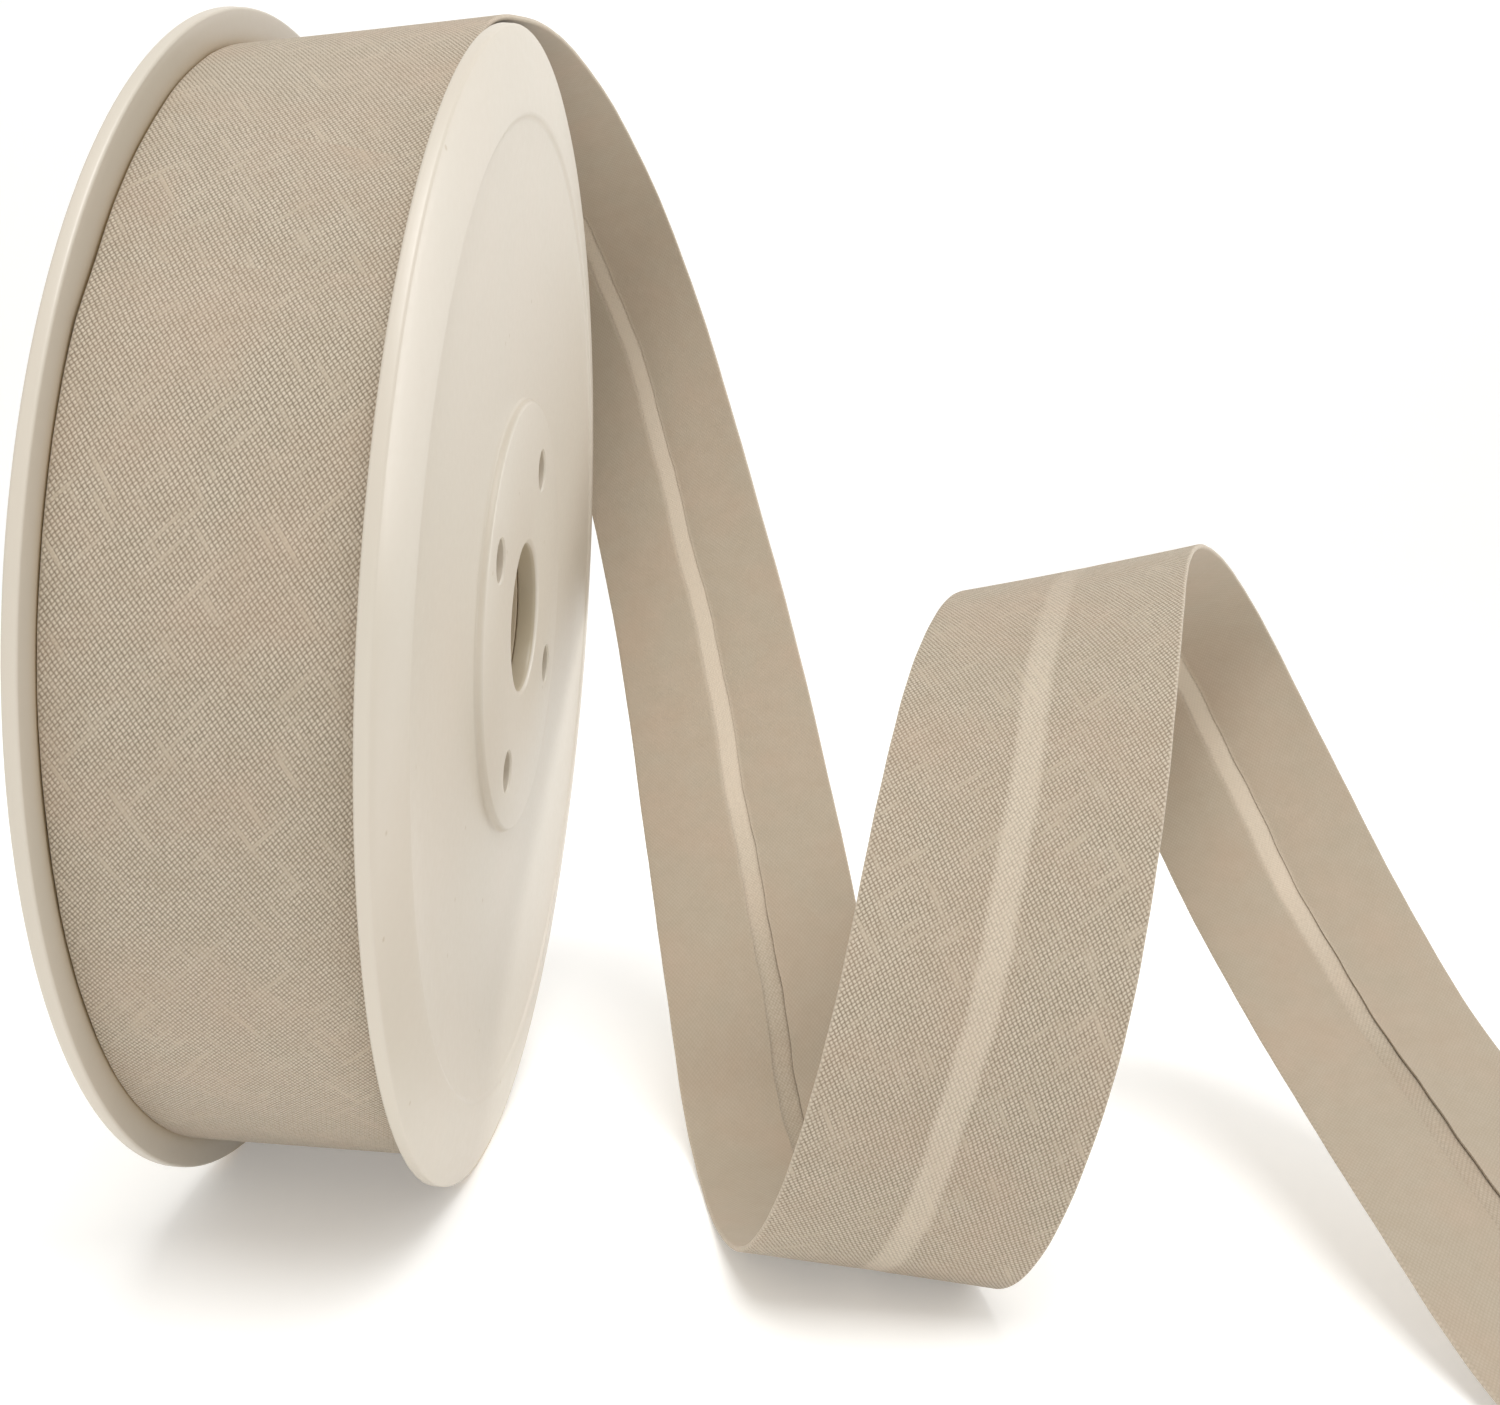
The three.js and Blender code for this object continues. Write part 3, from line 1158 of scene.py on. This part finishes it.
class TAPE_OT_wound(bpy.types.Operator):
    """Spins the wound turns, with each turn's folded edges rounded on both sides"""

    bl_idname = "tape.wound"
    bl_label = "Wound turns"

    def execute(self, context):
        spool, tape = context.scene.spool_sizes, context.scene.tape_sizes
        uneven = random.Random(11)
        above_barrel, clear_of_flanges, fold = 0.3 * MM, 0.12 * MM, 0.16 * MM
        low = spool.barrel + above_barrel
        turns = int((tape.wound_radius - low) / tape.turn)
        middle = -(spool.gap + spool.rim) / 2
        half = tape.width / 2 - clear_of_flanges
        right, left = [], []
        for i in range(turns):
            start = low + (tape.wound_radius - low) * i / turns
            drift = uneven.uniform(-0.1, 0.1) * MM
            for point in EDGE_PROFILE:
                radius = start + point["up"] * (tape.wound_radius - low) / turns
                right.append((middle + half + drift - point["drawn_in"] * fold, radius))
                left.append((middle - half + drift + point["drawn_in"] * fold, radius))
        top = tape.wound_radius
        outline = right + [(middle + half - fold, top), (middle - half + fold, top)] + left[::-1]
        points = [(x, 0, axle() + radius) for x, radius in outline]
        mesh = bpy.data.meshes.new("wound_turns")
        count = len(points)
        mesh.from_pydata(points, [(i, (i + 1) % count) for i in range(count)], [])
        wound = bpy.data.objects.new("wound_turns", mesh)
        context.scene.collection.objects.link(wound)
        make_active(wound)
        bpy.ops.object.mode_set(mode="EDIT")
        bpy.ops.mesh.select_all(action="SELECT")
        bpy.ops.mesh.spin(
            steps=SPIN_STEPS,
            angle=math.tau,
            center=(0, 0, axle()),
            axis=(1, 0, 0),
            use_auto_merge=True,
        )
        bpy.ops.mesh.select_all(action="SELECT")
        bpy.ops.mesh.remove_doubles(threshold=0.001 * MM)
        finish_normals()
        bpy.ops.object.shade_smooth_by_angle(angle=math.radians(60))
        wound.data.materials.append(edge_on_turns("Folded cotton edges"))
        seat(wound, "cloth", "wound_tape")
        deselect()
        return {"FINISHED"}


class TAPE_OT_loose(bpy.types.Operator):
    """Folds the strip of tape and lays it round the roll, over the rim and down its curls"""

    bl_idname = "tape.loose"
    bl_label = "Last turn and loose end"

    def execute(self, context):
        tape = context.scene.tape_sizes
        stations = self.eased(tape_stations())
        uneven = random.Random(4)
        waves = []
        for wave in WANDER:
            length = uneven.uniform(0.7, 1.3) * wave["length"] * MM
            waves.append((length, uneven.uniform(0, math.tau), wave["size"] * MM))
        points, places = [], []
        shares = {"weave": [], "light_let_through": [], "fold_highlight": [], "thickness": []}
        along, count = 0.0, 0
        for i, (at, middle, width) in enumerate(stations):
            if i:
                along += (middle - stations[i - 1][1]).length
            before = stations[max(i - 1, 0)][1]
            after = stations[min(i + 1, len(stations) - 1)][1]
            heading = (after - before).normalized()
            width = (width - heading * width.dot(heading)).normalized()
            out = width.cross(heading)
            wander = 0.0
            for length, turn, size in waves:
                wander += size * math.sin(math.tau * along / length + turn)
            # The gap wanders more than the tape's edges do, and the free cloth ripples
            shift = between(FOLD_LAY, "gap_shift", at) * MM + 1.6 * wander
            light = between(FOLD_LAY, "light", at)
            lift = between(FOLD_LAY, "lift", at) * MM
            ripple = 0.5 * wander if at > 0.5 else 0.0
            section = fold_section(shift, lift, light)
            count = len(section)
            for across, height, flat, on_face, thickness, fold in section:
                wavy = ripple * math.cos(math.pi * across / tape.width)
                points.append(middle + width * (across + 0.5 * wander) + out * (height + wavy))
                places.append((flat, along))
                # The stripe's painted light is full to 1.1 mm from its middle and gone at 1.5 mm
                from_gap = abs(across - shift) / MM
                in_stripe = min(1.0, max(0.0, (1.5 - from_gap) / 0.4))
                shares["weave"].append(on_face)
                shares["light_let_through"].append(light * in_stripe)
                shares["fold_highlight"].append(fold)
                shares["thickness"].append(thickness)
        faces = []
        for i in range(len(stations) - 1):
            for j in range(count - 1):
                a = i * count + j
                faces.append((a, a + 1, a + count + 1, a + count))
        strip = mesh_piece("folded_tape", points, faces)
        strip_uv = strip.data.uv_layers.new(name="cut")
        for loop in strip.data.loops:
            strip_uv.data[loop.index].uv = places[loop.vertex_index]
        thinning = strip.vertex_groups.new(name="thickness")
        for i, share in enumerate(shares.pop("thickness")):
            thinning.add([i], share, "REPLACE")
        for name, values in shares.items():
            layer = strip.data.attributes.new(name, "FLOAT", "POINT")
            layer.data.foreach_set("value", values)
        thick = strip.modifiers.new("cloth", "SOLIDIFY")
        thick.thickness = tape.cloth
        thick.offset = 0
        thick.use_even_offset = True
        thick.vertex_group = "thickness"
        thick.material_offset = 1
        strip.data.materials.append(plain_weave_cotton("Plain-weave cotton, bias cut"))
        # The back, pressed smoother, shows less painted hollow shade and more painted light through
        # its single layer
        strip.data.materials.append(plain_weave_cotton("Plain-weave cotton, back", 0.3, 0.6))
        apply_modifiers(strip)
        bpy.ops.object.shade_smooth_by_angle(angle=math.radians(50))
        seat(strip, "cloth", "loose_end")
        deselect()
        return {"FINISHED"}

    def eased(self, stations):
        """Smooths the short stretch where the tape leaves the roll."""
        leaves = next(i for i, station in enumerate(stations) if station[0] >= 0)
        for _ in range(30):
            for i in range(leaves - 10, leaves + 14):
                mean = (stations[i - 1][1] + stations[i + 1][1]) / 2
                turned = (stations[i - 1][2] + stations[i + 1][2]) / 2
                at, middle, width = stations[i]
                width = width.lerp(turned, 0.5).normalized()
                stations[i] = (at, middle.lerp(mean, 0.5), width)
        return stations


class STAGE_OT_studio(bpy.types.Operator):
    """Adds the pale floor with its upswept back, the soft lights and the camera"""

    bl_idname = "stage.studio"
    bl_label = "Floor, lights and camera"

    def execute(self, context):
        settings = context.scene.stage_settings
        self.sweep(settings)
        world = bpy.data.worlds.new("soft_surround")
        context.scene.world = world
        world.use_nodes = True
        background = world.node_tree.nodes["Background"]
        background.inputs["Color"].default_value = linear("#FFFDFA")
        background.inputs["Strength"].default_value = settings.sky
        for row in LAMPS:
            self.lamp(context, row, settings.key * row["share"])
        context.scene.view_settings.view_transform = "Standard"
        self.camera(context, settings)
        deselect()
        return {"FINISHED"}

    def sweep(self, settings):
        """A floor that curves up into a plain back wall."""
        radius, depth, width, wall = 0.5, 0.9, 3.0, 1.8
        profile = [(-1.2, 0.0), (depth, 0.0)]
        for i in range(1, 17):
            turn = math.pi / 2 * i / 16
            profile.append((depth + radius * math.sin(turn), radius - radius * math.cos(turn)))
        profile.append((depth + radius, wall))
        points = [(side * width, y, z) for y, z in profile for side in (-1, 1)]
        faces = [(2 * i, 2 * i + 1, 2 * i + 3, 2 * i + 2) for i in range(len(profile) - 1)]
        floor = mesh_piece("floor", points, faces)
        bpy.ops.object.shade_smooth()
        # Matte acrylic lit from behind: white, and bright enough to soften the shadows
        material, tree = new_material("Backlit acrylic")
        shader = add(
            tree,
            "ShaderNodeBsdfPrincipled",
            {
                "Base Color": linear(settings.floor),
                "Roughness": 0.9,
                "Specular IOR Level": 0.1,
                "Emission Color": linear(settings.floor),
                "Emission Strength": settings.backlight,
            },
        )
        add(tree, "ShaderNodeOutputMaterial", {"Surface": shader.outputs["BSDF"]})
        floor.data.materials.append(material)

    def lamp(self, context, row, power):
        """A large soft square light aimed at a point."""
        data = bpy.data.lights.new(row["name"], "AREA")
        data.size = row["side"]
        data.energy = power
        lamp = bpy.data.objects.new(row["name"], data)
        context.scene.collection.objects.link(lamp)
        lamp.location = row["place"]
        ahead = Vector(row["aim"]) - Vector(row["place"])
        lamp.rotation_euler = ahead.to_track_quat("-Z", "Y").to_euler()

    def camera(self, context, settings):
        """The camera at the photograph's place, close in front of the roll."""
        data = bpy.data.cameras.new("camera")
        data.lens = settings.lens
        data.sensor_width = 36.0
        data.clip_start = 0.01
        camera = bpy.data.objects.new("camera", data)
        context.scene.collection.objects.link(camera)
        right = Vector(CAMERA_RIGHT).normalized()
        ahead = Vector(CAMERA_AHEAD)
        ahead = (ahead - right * ahead.dot(right)).normalized()
        up = right.cross(ahead)
        turned = Matrix((right, up, -ahead)).transposed().to_4x4()
        camera.matrix_world = Matrix.Translation(Vector(CAMERA_PLACE) * MM) @ turned
        context.scene.camera = camera


class TAPE_PT_panel(bpy.types.Panel):
    """Sizes and steps of the roll"""

    bl_idname = "TAPE_PT_panel"
    bl_label = "Roll of bias tape"
    bl_space_type = "VIEW_3D"
    bl_region_type = "UI"
    bl_category = "Bias Tape"

    def draw(self, context):
        for group in ("stage_settings", "spool_sizes", "tape_sizes"):
            box = self.layout.box()
            settings = getattr(context.scene, group)
            for name in type(settings).__annotations__:
                box.prop(settings, name)
        for operator in OPERATORS:
            self.layout.operator(operator.bl_idname)


OPERATORS = (STAGE_OT_studio, SPOOL_OT_flanges, SPOOL_OT_core, TAPE_OT_wound, TAPE_OT_loose)
GROUPS = {"spool_sizes": SpoolSizes, "tape_sizes": TapeSizes, "stage_settings": StageSettings}


def register():
    for made in (*GROUPS.values(), *OPERATORS, TAPE_PT_panel):
        bpy.utils.register_class(made)
    for name, group in GROUPS.items():
        setattr(bpy.types.Scene, name, bpy.props.PointerProperty(type=group))


def unregister():
    for name in GROUPS:
        delattr(bpy.types.Scene, name)
    for made in (TAPE_PT_panel, *reversed(OPERATORS), *GROUPS.values()):
        bpy.utils.unregister_class(made)


def main():
    register()
    bpy.ops.stage.studio()
    bpy.ops.spool.flanges()
    bpy.ops.spool.core()
    bpy.ops.tape.wound()
    bpy.ops.tape.loose()


if __name__ == "__main__":
    main()
